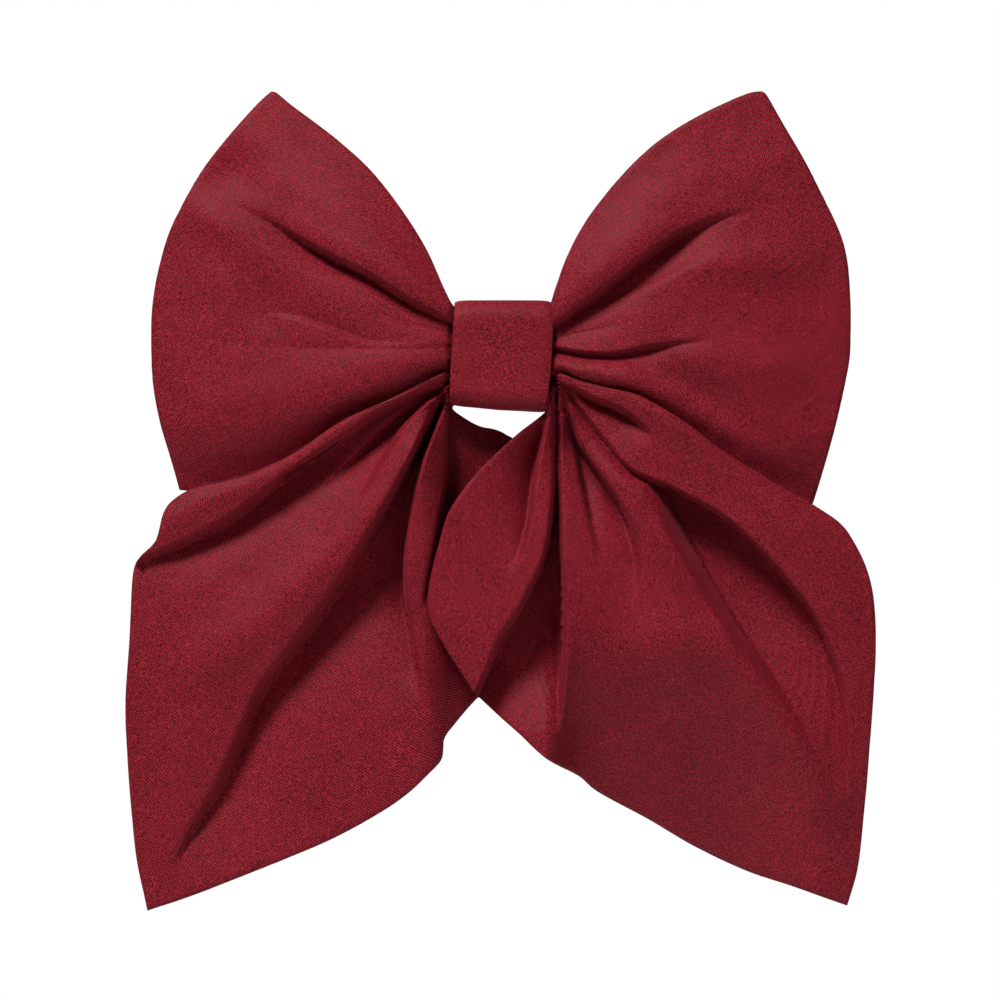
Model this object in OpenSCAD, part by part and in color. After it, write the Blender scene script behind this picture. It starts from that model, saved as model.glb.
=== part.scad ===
// Hair bow on a French barrette, in millimetres.
// The bow stands upright as it is worn: +Z is up, the front faces -Y, and the head is at +Y.
// The origin is in the middle of the hair grip, between the spring leaf and the clasp arm.

/* [Wings] */
// From the middle of the bow to the outermost edge of a wing
wing_reach = 76.7; // [60:0.1:95]
// From the middle of the bow up to the wings' top corners
wing_rise = 58; // [45:0.5:72]
// From the middle of the bow down to the wings' bottom corners
wing_drop = 34; // [28:0.5:42]
// How far a wing's belly stands forward of the waist
wing_belly = 4.5; // [1:0.5:8]

/* [Tails] */
// From the middle of the bow to the outermost edge of a tail
tail_reach = 82.3; // [66:0.1:100]
// From the middle of the bow down to the tails' points
tail_drop = 122; // [96:0.5:150]
// How far a tail's belly stands forward of the waist
tail_belly = 4; // [1:0.5:7]
// How far the left tail's inner side lies behind the right tail's
tail_stagger = 9; // [6:0.5:12]

/* [Cloth] */
// Thickness of one layer of satin
cloth_t = 0.5; // [0.3:0.05:0.7]
// Space between the two layers of a turned panel
layer_gap = 0.3; // [0.2:0.05:0.6]
// Diameter of the sewing thread
thread_d = 0.12; // [0.08:0.01:0.16]
// Depth of the wings' pleats at the waist
wing_pleat = 1.4; // [0.4:0.1:1.6]
// Depth of the tails' pleats at the waist
tail_pleat = 0.6; // [0.2:0.1:0.8]

/* [Knot] */
// Width of the knot band along X
knot_w = 22; // [18:0.5:28]
// Height of the knot along Z
knot_h = 23.6; // [21:0.2:30]
// Thickness of the folded knot band
band_t = 1.1; // [0.8:0.1:1.5]
// Radius of the knot's outer corners
knot_round = 3.6; // [2:0.2:5]
// Length of the sewn lap at the back of the band
lap_l = 7; // [5:0.5:9]
// Number of stitches that close the lap
stitches = 6; // [3:1:9]
// Number of turns of the waist thread
waist_turns = 4; // [2:1:7]

/* [Clip] */
// Length of the barrette plate
clip_len = 80; // [72:1:90]
// Radius that the plate is rolled to
plate_r = 160; // [130:5:200]
// Width of the plate
plate_w = 8; // [7.4:0.1:9]
// Thickness of the plate, its ears and its tabs
plate_t = 0.6; // [0.5:0.05:0.8]
// From the origin to the plate's front face
plate_set = 8; // [8:0.1:9]
// Radius that the clasp arm is rolled to
arm_r = 400; // [300:10:600]
// Width of the clasp arm between its ends
arm_w = 5; // [4:0.1:5.6]
// Thickness of the clasp arm
arm_t = 0.6; // [0.5:0.05:0.8]
// Radius that the spring leaf is rolled to
leaf_r = 450; // [400:10:500]
// Width of the spring leaf
leaf_w = 4.6; // [3:0.1:5.2]
// Thickness of the spring leaf
leaf_t = 0.4; // [0.3:0.05:0.5]
// Half the space between the spring leaf and the clasp arm
grip_half = 2.8; // [2.4:0.1:3.2]
// Radius of the hinge pin
pin_r = 0.5; // [0.4:0.05:0.6]
// Radius of the leaf's rolled root
root_r = 0.45; // [0.35:0.05:0.5]
// Width of one catch tab along X
tab_w = 2; // [1.6:0.1:2.6]

/* [Hidden] */

$fn = 96;
wine = "#761c26";
deep_wine = "#5c141d";
thread_red = "#6a1a22";
steel = "#b9bcc0";
spring_steel = "#8d9298";

run = 0.05;     // running clearance of a pin in its bore
ease = 0.2;     // side clearance between moving sheet-metal pieces
rest_gap = 0.05; // space left between pieces that lie on each other

// The clip
clip_half = clip_len / 2;
plate_y = plate_r - plate_set;      // centre of the plate's arc
arm_y = arm_r + grip_half;          // centre of the arm's arc
hinge_x = 2 - clip_half;
knuckle_r = 1.3;
ear_r = 1.7;
ear_l = 7.6;
ear_in = plate_w / 2 - plate_t;     // inner face of an ear
head_r = 0.85;
head_t = 0.3;
leaf_low_x = -10;                   // where the leaf comes nearest the plate
leaf_end = clip_half - 10;
root_x = 5.5 - clip_half;
leaf_y = leaf_r - grip_half - leaf_t;
tab_x = clip_half - 1.8;            // middle of a catch tab
tab_out = 3;                        // outer face of a tab
tab_round = 0.25;
barb = 0.6;
barb_h = 0.9;
barb_gap = 0.12;
window_l = tab_w + 1.4;
window_half = tab_out + ease;
flare_half = window_half + 1;
flare_l = 8;
hole_r = 0.8;
hole_x = clip_half - 11;

// The knot, from the plate towards the front. Depths are Y values.
knot_half = knot_w / 2;
panel_t = 2 * cloth_t + layer_gap;
pad_t = 1;
pad_front = -plate_set - pad_t;
turn_t = 0.3;
turn_round = knot_round - band_t;
tail_y = pad_front - turn_t - 3 * rest_gap - panel_t - tail_pleat;
wing_y = tail_y - tail_pleat - 2 * ease - panel_t - wing_pleat;
turn_front = wing_y - wing_pleat - rest_gap;
band_front = turn_front - turn_t - 2 * rest_gap - band_t;
band_back = plate_inner(knot_half) + 2 * rest_gap;
waist_half = knot_h / 2 - band_t - turn_t - 5 * rest_gap;
turn_half = waist_half + 3 * rest_gap;
waist_split = 0.3;  // share of the waist's lower half where the wings' lower edge lies

function hinge_y() = arm_y - sqrt(pow(arm_r, 2) - pow(hinge_x, 2)) + arm_t / 2;
function plate_inner(x) = plate_y - sqrt(pow(plate_r - plate_t, 2) - pow(x, 2));
function leaf_at(x) = leaf_y + leaf_t / 2 - sqrt(pow(leaf_r, 2) - pow(x - leaf_low_x, 2));
function arm_back(x) = arm_y - sqrt(pow(arm_r - arm_t, 2) - pow(x, 2));

// --- Outlines of the cloth ---------------------------------------------------------------
// Points are shares: across from the knot's side to the reach, and up or down from the middle.
WING_TOP = [[[0.04, 0.27], [0.174, 0.55], [0.37, 0.79], [0.597, 1]],
            [[0.043, 0.32], [0.16, 0.57], [0.36, 0.81], [0.709, 1]]];
WING_LOW = [[[0.107, -0.19], [0.356, -0.42], [0.64, -0.74], [0.907, -0.876]],
            [[0.093, -0.17], [0.35, -0.32], [0.6, -0.65], [0.868, -0.994]]];
WING_FAR = [[[0.597, 1], [0.79, 0.755], [0.924, 0.49], [0.991, 0.17], [0.991, -0.23], [0.907, -0.876]],
            [[0.709, 1], [0.877, 0.68], [0.977, 0.34], [0.997, 0.05], [0.966, -0.36], [0.868, -0.994]]];
// A tail's outer edge goes on from the wing's bottom corner, and its inner edge starts below the knot.
TAIL_OUT = [[[-0.925, -0.345], [-0.985, -0.4], [-1, -0.59], [-0.99, -0.82], [-0.945, -1]],
            [[0.905, -0.306], [0.97, -0.385], [0.995, -0.53], [0.985, -0.78], [0.933, -1]]];
TAIL_IN = [[[-0.06, -0.128], [0.03, -0.152], [0.07, -0.3], [0.05, -0.45], [0.012, -0.575]],
           [[0.03, -0.15], [-0.12, -0.26], [-0.195, -0.41], [-0.165, -0.51], [-0.09, -0.59]]];
TAIL_END = [[[-0.945, -1], [-0.67, -0.93], [-0.4, -0.85], [-0.19, -0.75], [-0.08, -0.64], [0.012, -0.575]],
            [[0.933, -1], [0.66, -0.935], [0.42, -0.865], [0.21, -0.765], [0.04, -0.675], [-0.09, -0.59]]];

lobe_u = 18;    // steps along one wing or tail
lobe_v = 18;    // steps across it
wing_folds = 3.5;
tail_folds = 3;
tail_lag = 1.5;
fold_fade = 1.6;
edge_drop = 2.5; // how far the long edges roll back behind the belly

function mix(a, b, t) = a + (b - a) * t;
function ease_in(t) = let (c = min(max(t, 0), 1)) c * c * (3 - 2 * c);
function side(k) = 2 * k - 1;   // k is 0 for the left half and 1 for the right

// Smooth curve through the points p, with t from 0 at the first to 1 at the last
function through(p, t) =
    let (n = len(p) - 1, s = min(floor(t * n), n - 1), f = t * n - s,
         a = p[max(s - 1, 0)], b = p[s], c = p[s + 1], d = p[min(s + 2, n)])
    0.5 * (2 * b + (c - a) * f + (2 * a - 5 * b + 4 * c - d) * f * f
           + (3 * b - a - 3 * c + d) * f * f * f);

function wing_point(k, s) =
    [side(k) * mix(knot_half, wing_reach, s[0]), s[1] * (s[1] > 0 ? wing_rise : wing_drop)];
function tail_point(s) = [s[0] * tail_reach, s[1] * tail_drop];

function wing_top(k) = concat([[side(k) * knot_half, waist_half]],
                              [for (s = WING_TOP[k]) wing_point(k, s)]);
function wing_low(k) = concat([[side(k) * knot_half, -waist_split * waist_half]],
                              [for (s = WING_LOW[k]) wing_point(k, s)]);
function wing_far(k) = [for (s = WING_FAR[k]) wing_point(k, s)];
under = [0, -1];                // a tail starts this far below the wing's edge
function tail_out(k) = concat([for (p = wing_low(k)) p + under],
                              [for (s = TAIL_OUT[k]) tail_point(s)]);
function tail_in(k) = concat([[side(k) * knot_half, -waist_half],
                              [side(k) * (knot_half + 0.7), -knot_h / 2 - 0.6],
                              [side(k) * 0.74 * knot_half, -knot_h / 2 - 2.6]],
                             [for (s = TAIL_IN[k]) tail_point(s)]);
function tail_end(k) = [for (s = TAIL_END[k]) tail_point(s)];

// Point in the XZ plane of a lobe that runs from the waist (u = 0) to its far edge (u = 1).
// A lag over 1 holds the low edge back near the waist, where it turns in below the knot.
function lobe(top, low, far, u, v, lag = 1) =
    mix(through(top, u), through(low, pow(u, lag)), v)
    + u * (through(far, v) - mix(top[len(top) - 1], low[len(low) - 1], v));

// Y of the cloth's front face, with folds that fan out from the waist and fade
function wing_depth(u, v) =
    wing_y - wing_belly * sin(180 * pow(u, 0.8)) + 2 * u * u
    + edge_drop * pow(2 * v - 1, 4) * ease_in(2 * u)
    + wing_pleat * pow(1 - 0.8 * u, fold_fade) * cos(360 * wing_folds * v);
function tail_depth(k, u, v) =
    let (s = mix(u, pow(u, tail_lag), v))
    tail_y - tail_belly * sin(180 * min(1, 1.1 * s))
    + tail_stagger * (k == 0 ? 0.55 : -0.45) * ease_in(3 * s - 0.3) * ease_in(1.6 * v - 0.4)
    + tail_pleat * (1 + 2 * ease_in(5 * s)) * pow(1 - 0.9 * s, fold_fade) * cos(360 * tail_folds * v);

function at_depth(p, y) = [p[0], y, p[1]];

// Grid of points across both halves: columns run from the left far edge to the right far edge
function wings_grid() =
    let (edges = [for (k = [0, 1]) [wing_top(k), wing_low(k), wing_far(k)]])
    [for (i = [-lobe_u - 1 : lobe_u + 1])
        let (k = i < 0 ? 0 : 1, u = max(abs(i) - 1, 0) / lobe_u, e = edges[k])
        [for (j = [0 : lobe_v])
            let (v = j / lobe_v, p = i == 0 ? [0, mix(e[0][0][1], e[1][0][1], v)]
                                            : lobe(e[0], e[1], e[2], u, v))
            at_depth(p, wing_depth(u, v))]];
function tails_grid() =
    let (edges = [for (k = [0, 1]) [tail_out(k), tail_in(k), tail_end(k)]])
    [for (i = [-lobe_u - 1 : lobe_u + 1])
        let (k = i < 0 ? 0 : 1, u = max(abs(i) - 1, 0) / lobe_u, e = edges[k])
        [for (j = [0 : lobe_v])
            let (v = j / lobe_v, p = i == 0 ? [0, mix(e[0][0][1], e[1][0][1], v)]
                                            : lobe(e[0], e[1], e[2], u, v, tail_lag))
            at_depth(p, tail_depth(k, u, v))]];

// Rim of a grid, as one closed loop of points
function rim(g) =
    let (m = len(g) - 1, n = len(g[0]) - 1)
    concat([for (i = [0 : m - 1]) g[i][0]], [for (j = [0 : n - 1]) g[m][j]],
           [for (i = [m : -1 : 1]) g[i][n]], [for (j = [n : -1 : 1]) g[0][j]]);

// One closed layer of cloth: the grid, set back by `from`, and its copy cloth_t further back
module layer(g, from) {
    m = len(g);
    n = len(g[0]);
    front = [for (c = g) for (p = c) p + [0, from, 0]];
    back = [for (p = front) p + [0, cloth_t, 0]];
    count = m * n;
    across = [for (i = [0 : m - 2]) for (j = [0 : n - 2])
        let (a = i * n + j) [a, a + n, a + n + 1, a + 1]];
    edge = concat([for (i = [0 : m - 1]) i * n], [for (j = [1 : n - 1]) (m - 1) * n + j],
                  [for (i = [m - 2 : -1 : 0]) i * n + n - 1], [for (j = [n - 2 : -1 : 1]) j]);
    split = function (q) [[q[0], q[1], q[2]], [q[0], q[2], q[3]]];
    polyhedron(
        points = concat(front, back),
        faces = concat(
            [for (q = across) for (t = split(q)) t],
            [for (q = across) for (t = split(q)) [t[2] + count, t[1] + count, t[0] + count]],
            [for (e = [0 : len(edge) - 1])
                let (a = edge[e], b = edge[(e + 1) % len(edge)])
                for (t = split([b, a, a + count, b + count])) t]));
}

// Closed loop of thread through the points p
module loop_thread(p, d, sides = 6) {
    n = len(p);
    ring = function (i)
        let (way = p[(i + 1) % n] - p[(i + n - 1) % n],
             out = cross(way, [0, 1, 0]) / norm(cross(way, [0, 1, 0])),
             up = cross(out, way) / norm(cross(out, way)))
        [for (s = [0 : sides - 1])
            p[i] + d / 2 * (cos(360 * s / sides) * out + sin(360 * s / sides) * up)];
    polyhedron(
        points = [for (i = [0 : n - 1]) for (q = ring(i)) q],
        faces = [for (i = [0 : n - 1]) for (s = [0 : sides - 1])
            let (a = i * sides, b = ((i + 1) % n) * sides, t = (s + 1) % sides)
            for (f = [[a + s, a + t, b + t], [a + s, b + t, b + s]]) f]);
}

module wings_front_panel() { color(wine) layer(wings_grid(), 0); }
module wings_back_panel() { color(deep_wine) layer(wings_grid(), cloth_t + layer_gap); }
module tails_front_panel() { color(wine) layer(tails_grid(), 0); }
module tails_back_panel() { color(deep_wine) layer(tails_grid(), cloth_t + layer_gap); }

seam_set = [0, cloth_t + layer_gap / 2, 0];
module wings_seam_thread() {
    color(thread_red) loop_thread([for (p = rim(wings_grid())) p + seam_set], thread_d);
}
module tails_seam_thread() {
    color(thread_red) loop_thread([for (p = rim(tails_grid())) p + seam_set], thread_d);
}

// --- Knot --------------------------------------------------------------------------------
// Extrude an outline drawn with x as Y and y as Z over the width w, centred on X = 0
module along_x(w) {
    rotate([90, 0, 90]) translate([0, 0, -w / 2]) linear_extrude(w) children();
}

// Side outline of the knot: a rounded front, and a back that draws in round the plate
module knot_outline(inset) {
    r = knot_round - inset;
    y0 = band_front + inset;
    y1 = band_back + band_t - inset;
    half = knot_h / 2 - inset;
    for (y = [y0 + r, y1 - r], s = [-1, 1]) translate([y, s * (half - r)]) circle(r);
    translate([y0, r - half]) square([y1 - y0, 2 * (half - r)]);
    translate([y0 + r, -half]) square([y1 - y0 - 2 * r, 2 * half]);
}

module knot_band() {
    color(wine) {
        along_x(knot_w) difference() {
            knot_outline(0);
            knot_outline(band_t);
        }
        // the lap that closes the ring lies against its back wall
        translate([-knot_half, band_back + band_t, -lap_l / 2]) cube([knot_w, band_t, lap_l]);
    }
}

module band_stitches() {
    pitch = knot_w / (stitches + 1);
    stitch_l = 2;
    stitch_in = 0.3;    // from the lap's edge
    color(thread_red)
        for (i = [1 : stitches])
            translate([i * pitch - knot_half, band_back + 2 * band_t + thread_d, stitch_in - lap_l / 2])
                cylinder(h = stitch_l, d = thread_d, $fn = 16);
}

// Side outline of the gathered waist, from y0 at the front to y1, with round front corners
module waist_outline(y0, y1, half, r) {
    for (s = [-1, 1]) translate([y0 + r, s * (half - r)]) circle(r);
    translate([y0, r - half]) square([y1 - y0, 2 * (half - r)]);
    translate([y0 + r, -half]) square([y1 - y0 - r, 2 * half]);
}

module waist_thread() {
    pitch = 1.1;
    back = pad_front - rest_gap;
    color(thread_red)
        for (i = [0 : waist_turns - 1])
            translate([(i - (waist_turns - 1) / 2) * pitch, 0, 0])
                along_x(turn_t) difference() {
                    waist_outline(turn_front - turn_t, back, turn_half + turn_t, turn_round);
                    waist_outline(turn_front, back - turn_t, turn_half, turn_round - turn_t);
                }
}

module glue_pad() {
    pad_l = 14;
    color("#d8cfc0") difference() {
        translate([-pad_l / 2, pad_front, -plate_w / 2]) cube([pad_l, 2 * pad_t, plate_w]);
        translate([0, plate_y, -plate_w]) cylinder(h = 2 * plate_w, r = plate_r + rest_gap, $fn = 720);
    }
}

// --- Clip --------------------------------------------------------------------------------
// Flat strip rolled about Z: r is the radius of its front face, centre_y the arc's centre
module rolled(r, t, w, x, centre_y) {
    half = 16;  // degrees of arc on each side, more than any strip needs
    translate([x, centre_y, -w / 2])
        rotate([0, 0, 270 - half])
            rotate_extrude(angle = 2 * half, $fn = 720)
                translate([r - t, 0]) square([t, w]);
}

// Cut through the clip's depth, from an outline drawn with x as X and y as Z
module through_y() {
    translate([0, 20, 0]) rotate([90, 0, 0]) linear_extrude(40) children();
}

// Strip from x0 to x1 with round corners
module strip(x0, x1, w, r) {
    for (x = [x0 + r, x1 - r])
        for (s = [-1, 1])
            translate([x, s * (w / 2 - r)]) circle(r);
    translate([x0 + r, -w / 2]) square([x1 - x0 - 2 * r, w]);
    translate([x0, r - w / 2]) square([x1 - x0, w - 2 * r]);
}

module ear(z) {
    translate([0, 0, z]) linear_extrude(plate_t) difference() {
        union() {
            translate([hinge_x, hinge_y()]) circle(ear_r);
            translate([hinge_x - ear_r, plate_inner(clip_half) - 4])
                square([2 * ear_r, hinge_y() - plate_inner(clip_half) + 4]);
            translate([hinge_x - ear_r, plate_inner(clip_half) - 4]) square([ear_l, 6]);
        }
        translate([hinge_x, hinge_y()]) circle(pin_r);
        translate([root_x, leaf_at(root_x)]) circle(root_r + run);
    }
}

module barrette_plate() {
    color(steel) intersection() {
        union() {
            intersection() {
                rolled(plate_r, plate_t, plate_w, 0, plate_y);
                through_y() difference() {
                    strip(-clip_half, clip_half, plate_w, 1.5);
                    for (s = [-1, 1]) translate([s * hole_x, 0]) circle(hole_r);
                }
            }
            ear(ear_in);
            ear(-ear_in - plate_t);
        }
        translate([0, plate_y, -plate_w]) cylinder(h = 2 * plate_w, r = plate_r, $fn = 720);
    }
}

module hinge_pin() {
    half = plate_w / 2;
    color(steel) translate([hinge_x, hinge_y(), 0]) {
        translate([0, 0, -half]) cylinder(h = 2 * half, r = pin_r);
        for (s = [-1, 1]) translate([0, 0, s * (half + head_t / 2) - head_t / 2])
            cylinder(h = head_t, r = head_r);
    }
}

module clasp_arm() {
    shoulder = 2 * (ear_in - ease);
    end_x = clip_half + 1.6;
    color(steel) difference() {
        union() {
            intersection() {
                rolled(arm_r, arm_t, 2 * flare_half, 0, arm_y);
                through_y() {
                    strip(hinge_x + 3, end_x - 2, arm_w, 1);
                    translate([hinge_x, -shoulder / 2]) square([5, shoulder]);
                    strip(end_x - flare_l, end_x, 2 * flare_half, 2);
                }
            }
            translate([hinge_x, hinge_y(), -shoulder / 2]) cylinder(h = shoulder, r = knuckle_r);
        }
        translate([hinge_x, hinge_y(), -plate_w]) cylinder(h = 2 * plate_w, r = pin_r + run);
        translate([tab_x - window_l / 2, 0, -window_half]) cube([window_l, 10, 2 * window_half]);
    }
}

module spring_leaf() {
    color(spring_steel) union() {
        intersection() {
            rolled(leaf_r, leaf_t, leaf_w, leaf_low_x, leaf_y + leaf_t);
            through_y() {
                translate([root_x, -leaf_w / 2]) square([4, leaf_w]);
                strip(root_x + 1, leaf_end, leaf_w, 2);
            }
        }
        translate([root_x, leaf_at(root_x), -plate_w / 2]) cylinder(h = plate_w, r = root_r);
    }
}

// One catch tab, drawn at +Z: it stands on the plate, passes through the arm's window and hooks behind it
module catch_tab() {
    foot = plate_inner(tab_x - tab_w / 2) - plate_t;
    hook = arm_back(tab_x + tab_w / 2) + barb_gap;
    color(spring_steel) intersection() {
        translate([tab_x, 0, 0]) along_x(tab_w)
            polygon([[foot, tab_out - plate_t], [foot, tab_out], [hook, tab_out],
                     [hook, tab_out + barb], [hook + barb_h, tab_out - tab_round],
                     [hook + barb_h, tab_out - plate_t]]);
        translate([0, plate_y, -plate_w])
            cylinder(h = 2 * plate_w, r = plate_r - plate_t - rest_gap, $fn = 720);
    }
}

module catch_tab_upper() { catch_tab(); }
module catch_tab_lower() { mirror([0, 0, 1]) catch_tab(); }

wings_front_panel();
wings_back_panel();
wings_seam_thread();
tails_front_panel();
tails_back_panel();
tails_seam_thread();
knot_band();
band_stitches();
waist_thread();
glue_pad();
barrette_plate();
hinge_pin();
clasp_arm();
spring_leaf();
catch_tab_upper();
catch_tab_lower();
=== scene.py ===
# %% [markdown]
# # A satin hair bow on a spring barrette
#
# The bow is two stacked pieces of satin, the wings above and the tails below, gathered in the
# middle and held by a flat band that is wrapped round them and sewn at the back. Behind the band a
# curved steel barrette is glued on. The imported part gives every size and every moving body. This
# script gives the cloth its folds and each surface its finish.
#
# The cells run in order. Each is small, so a number can be changed and its cell run again to see
# what it did.

import bmesh
import bpy
import numpy as np
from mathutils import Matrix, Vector


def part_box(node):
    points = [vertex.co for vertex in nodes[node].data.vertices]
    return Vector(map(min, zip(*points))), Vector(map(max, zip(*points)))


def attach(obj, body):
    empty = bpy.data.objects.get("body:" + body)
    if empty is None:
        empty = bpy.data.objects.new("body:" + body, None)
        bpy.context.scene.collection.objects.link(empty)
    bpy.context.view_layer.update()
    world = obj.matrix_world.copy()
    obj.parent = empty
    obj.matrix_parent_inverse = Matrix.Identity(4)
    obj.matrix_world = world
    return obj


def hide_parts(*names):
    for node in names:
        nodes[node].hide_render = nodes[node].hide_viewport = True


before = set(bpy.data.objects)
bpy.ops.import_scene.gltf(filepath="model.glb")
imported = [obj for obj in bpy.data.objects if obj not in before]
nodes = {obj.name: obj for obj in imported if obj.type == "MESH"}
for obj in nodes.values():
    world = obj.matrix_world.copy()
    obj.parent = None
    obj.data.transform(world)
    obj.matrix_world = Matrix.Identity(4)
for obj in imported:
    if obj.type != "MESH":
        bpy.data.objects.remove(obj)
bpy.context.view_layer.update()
MM = 0.001
print("packed nodes:", ", ".join(sorted(nodes)))

# %% [markdown]
# ## Camera, light and floor
#
# A bow is shown flat on, from the distance at which a long lens keeps its outline true. The light
# is a soft lamp high in front on the left, so faces that turn down or right fall into shade and
# every fold reads. A weak lamp on the right keeps the shade from going black, and one behind shows
# the clip. The world is plain white where the camera sees it and much dimmer as a light.
#
# The camera's distance isn't guessed: it follows from the lens and from how wide a piece of the
# world has to fit in the view at the cloth's front.

# %% Camera
LENS = 150
SENSOR = 36
VIEW_WIDTH = 219.2 * MM
BOW_FRONT = -14 * MM
away = VIEW_WIDTH / 2 / (SENSOR / 2 / LENS)

lens = bpy.data.cameras.new("camera")
lens.lens = LENS
lens.sensor_width = SENSOR
camera = bpy.data.objects.new("camera", lens)
bpy.context.collection.objects.link(camera)
camera.location = (-0.44 * MM, BOW_FRONT - away, -31.8 * MM)
camera.rotation_euler = (np.pi / 2, 0, 0)
bpy.context.scene.camera = camera
print(f"camera {away:.3f} m in front of the bow")


# %% Lamps
middle = (0, 0, -0.03)


def lamp(name, place, size, power):
    light = bpy.data.lights.new(name, "AREA")
    light.shape = "DISK"
    light.size = size
    light.energy = power
    holder = bpy.data.objects.new(name, light)
    bpy.context.collection.objects.link(holder)
    holder.location = place
    holder.rotation_euler = (Vector(middle) - Vector(place)).to_track_quat("-Z", "Y").to_euler()


lamp("key_lamp", (-0.32, -0.6, 0.74), size=0.3, power=16.0)
lamp("side_lamp", (0.7, -0.8, 0.3), size=0.6, power=1.8)
lamp("back_lamp", (-0.5, 0.8, 0.5), size=0.6, power=6.5)
print("lamps:", ", ".join(light.name for light in bpy.data.lights))

# %% World and floor
WORLD_GLOW = 0.12
FLOOR_RADIUS = 0.42
FLOOR_LEVEL = -0.2

scene = bpy.context.scene
scene.view_settings.view_transform = "Standard"
world = bpy.data.worlds.new("studio")
world.use_nodes = True
scene.world = world
sky = world.node_tree
plain = sky.nodes["Background"]
plain.inputs["Color"].default_value = (1, 1, 1, 1)
plain.inputs["Strength"].default_value = WORLD_GLOW
white = sky.nodes.new("ShaderNodeBackground")
white.inputs["Color"].default_value = (1, 1, 1, 1)
seen = sky.nodes.new("ShaderNodeLightPath")
pick = sky.nodes.new("ShaderNodeMixShader")
sky.links.new(seen.outputs["Is Camera Ray"], pick.inputs["Fac"])
sky.links.new(plain.outputs["Background"], pick.inputs[1])
sky.links.new(white.outputs["Background"], pick.inputs[2])
sky.links.new(pick.outputs["Shader"], sky.nodes["World Output"].inputs["Surface"])

bpy.ops.mesh.primitive_circle_add(vertices=96, radius=FLOOR_RADIUS, fill_type="NGON",
                                  location=(0, 0, FLOOR_LEVEL))
floor = bpy.context.object
floor.name = "floor"
print(f"floor {2 * FLOOR_RADIUS:.2f} m across, {-FLOOR_LEVEL:.2f} m below the hair grip")

# %% [markdown]
# ## Finishes
#
# Bow satin is a close polyester weave. Its face shows a very fine diagonal line, small glints, and
# a soft low sheen instead of a mirror gloss. The diagonal must follow the cloth, so each cloth mesh
# carries where its threads run, in millimetres of flat cloth, as an attribute named `weave`. A UV
# map would do the same, but an attribute in millimetres keeps the thread count true on every piece.
#
# The glints are painted: a fine noise in the object's own space lightens the base colour in small
# specks, a painted highlight over the weave's own grain, and the same noise varies the roughness.
# On the weave they would stretch where the grid does, beside the knot; in space their grain is the
# same size all over.
#
# Numbers that are the same all over sit on the shader's own sockets.


# %% Node helper
class Finish:
    """A material under construction: adds nodes and links them by socket name."""

    def __init__(self, name, **sockets):
        self.material = bpy.data.materials.new(name)
        self.material.use_nodes = True
        self.tree = self.material.node_tree
        self.shader = self.tree.nodes["Principled BSDF"]
        for socket, value in sockets.items():
            self.shader.inputs[socket.replace("_", " ")].default_value = value

    def add(self, kind, links=None, **settings):
        node = self.tree.nodes.new("ShaderNode" + kind)
        for key, value in settings.items():
            if key in node.inputs:
                node.inputs[key].default_value = value
            else:
                setattr(node, key, value)
        for socket, source in (links or {}).items():
            self.tree.links.new(source, node.inputs[socket])
        return node

    def use(self, **links):
        for socket, source in links.items():
            self.tree.links.new(source, self.shader.inputs[socket.replace("_", " ")])

    def ramp(self, source, *stops):
        node = self.add("ValToRGB", {"Fac": source})
        band = node.color_ramp.elements
        while len(band) < len(stops):
            band.new(0.5)
        for element, (place, colour) in zip(band, stops):
            element.position = place
            element.color = colour if len(colour) == 4 else (*colour, 1)
        return node.outputs["Color"]

    def bump(self, height, depth, strength=1.0):
        node = self.add("Bump", {"Height": height}, Distance=depth, Strength=strength)
        return node.outputs["Normal"]


# %% Satin
TWILL = 1.1  # the wave node repeats 10 x this many radians for each millimetre of weave


def satin(name, dark, light, sheen_tint):
    f = Finish(name, Sheen_Weight=0.08, Sheen_Roughness=0.4, Sheen_Tint=sheen_tint,
               Specular_IOR_Level=0.09)
    weave = f.add("Attribute", attribute_name="weave").outputs["Vector"]
    twill = f.add("TexWave", {"Vector": weave}, bands_direction="DIAGONAL", Scale=TWILL,
                  Distortion=0.6, Detail=1.0).outputs["Fac"]
    place = f.add("TexCoord").outputs["Object"]
    # painted glints: this fine noise lightens the base colour in small bright specks that stand in
    # for the satin's sparkle, and it also sets the roughness
    grain_and_painted_glint = f.add("TexNoise", {"Vector": place}, Scale=3100, Detail=0.6).outputs["Fac"]
    patch = f.add("TexNoise", {"Vector": weave}, Scale=0.06, Detail=3.0).outputs["Fac"]
    # the twill lines mixed with the painted glints, used for the base colour and for the bump
    thread = f.add("MixRGB", {"Color1": twill, "Color2": grain_and_painted_glint}, Fac=0.75).outputs["Color"]
    cloth = f.add("MixRGB", {"Color1": thread, "Color2": patch}, Fac=0.12).outputs["Color"]
    # base colour: the painted glints show at the light end of this ramp
    f.use(Base_Color=f.ramp(cloth, (0.39, dark), (0.69, light)),
          Roughness=f.ramp(grain_and_painted_glint, (0.3, (0.5,) * 3), (0.7, (0.7,) * 3)),
          Normal=f.bump(thread, 0.00006, 0.7))
    return f.material


bow_satin = satin("bow_satin", (0.056, 0.0014, 0.0036), (0.275, 0.0135, 0.026), (1, 0.2, 0.28, 1))
print(f"satin: twill lines {2 * np.pi / (10 * TWILL) / np.sqrt(2):.2f} mm apart")


# %% [markdown]
# Thread is two plies twisted together, so it gets a slanting ripple. The glue is a clear hot-melt
# pad with a faint yellow cast and small waves. The barrette is nickel-plated strip: the plate and
# arm are rolled, with fine lines along their length, and the spring leaf and catch are darker.

# %% Thread and glue
def twisted(name, dark, light):
    f = Finish(name, Roughness=0.55, Sheen_Weight=0.3)
    place = f.add("TexCoord").outputs["Object"]
    ply = f.add("TexWave", {"Vector": place}, bands_direction="DIAGONAL", Scale=1600).outputs["Fac"]
    f.use(Base_Color=f.ramp(ply, (0.1, dark), (0.9, light)), Normal=f.bump(ply, 0.00003, 0.6))
    return f.material


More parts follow.
